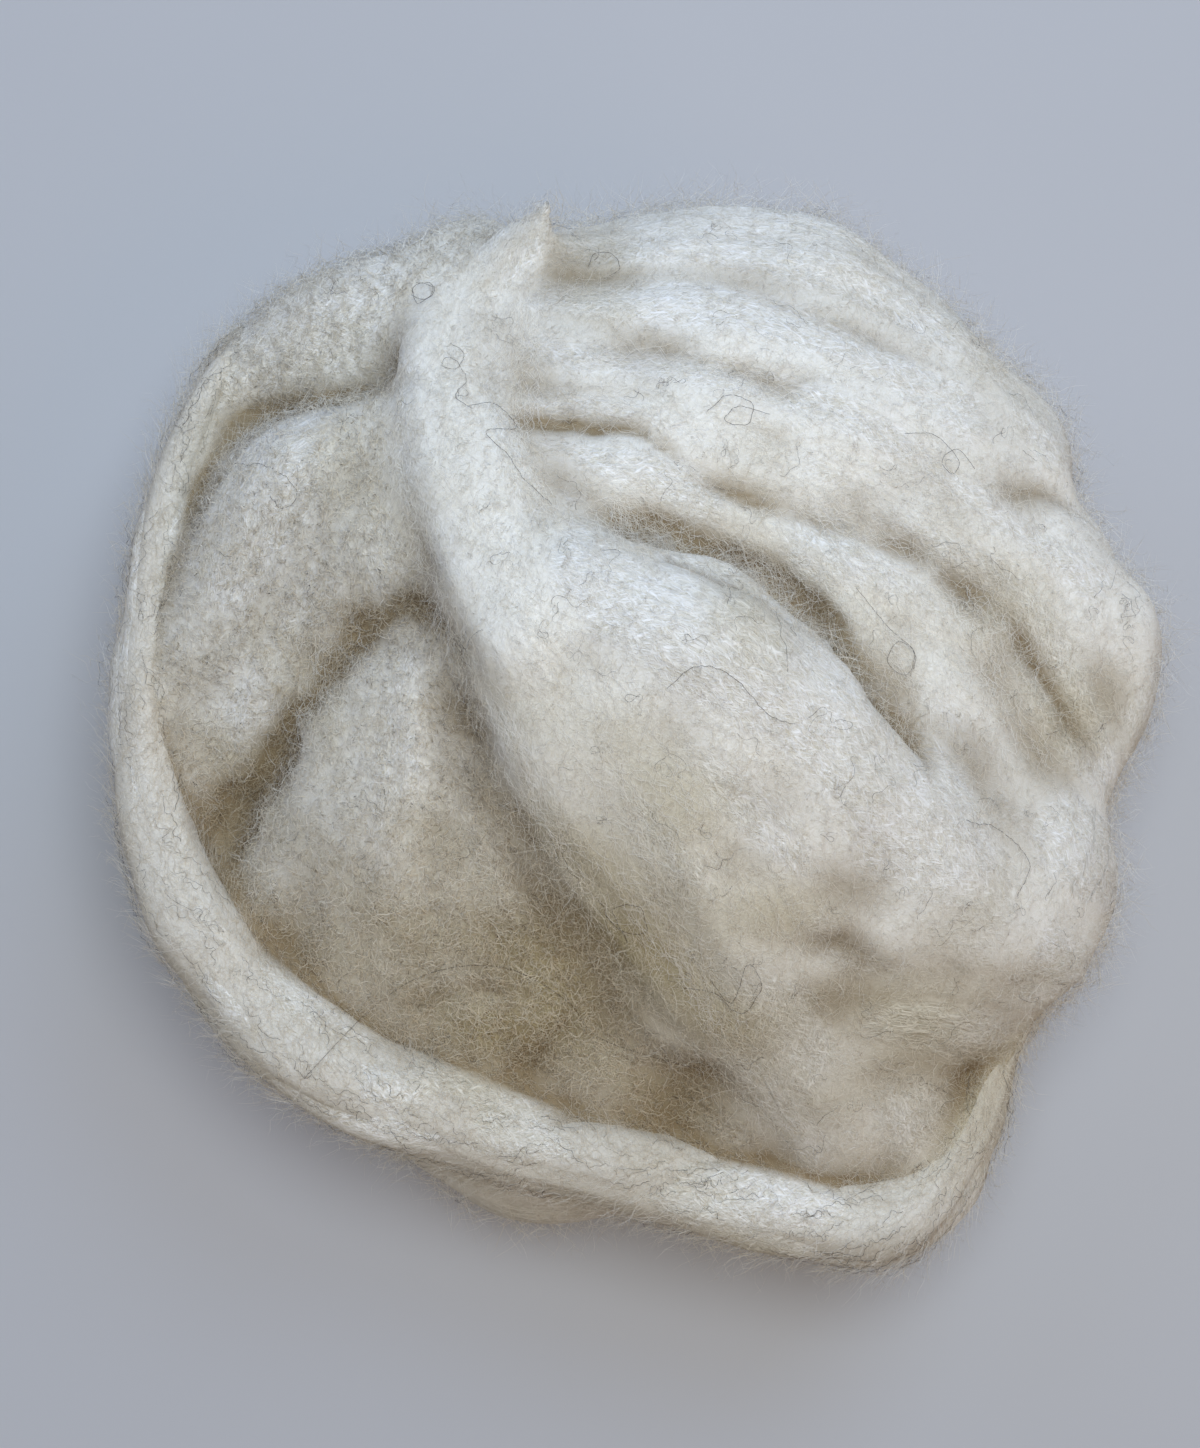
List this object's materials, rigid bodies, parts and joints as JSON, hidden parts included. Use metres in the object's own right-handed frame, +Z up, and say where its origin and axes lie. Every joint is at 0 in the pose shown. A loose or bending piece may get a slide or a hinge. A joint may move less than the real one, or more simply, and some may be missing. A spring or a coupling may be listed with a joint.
{
  "type": "wool roving ball",
  "caption": "Soft ball wound from one thick untwisted strand of combed cream wool, with one turn crossing its top and its loose end tapering away round its side.",
  "frame": {"origin": "middle of the whole part's box in plan, on the surface that the ball stands on", "axes": "+Z up; +X right and +Y to the back, with the crossing turn coming over the back edge and the loose end going round the front and the left"},
  "size_m": [0.1584, 0.1598, 0.0884],
  "materials": {
    "wound_wool": "matt, soft combed wool in cream, with fine crimped fibres brushing out and a few dark hairs",
    "loose_end_wool": "matt, soft combed wool in pale cream, its fibres lying along the strand"
  },
  "bodies": {
    "root": {"wound_ball": "wound_wool", "loose_end": "loose_end_wool"}
  },
  "joints": []
}
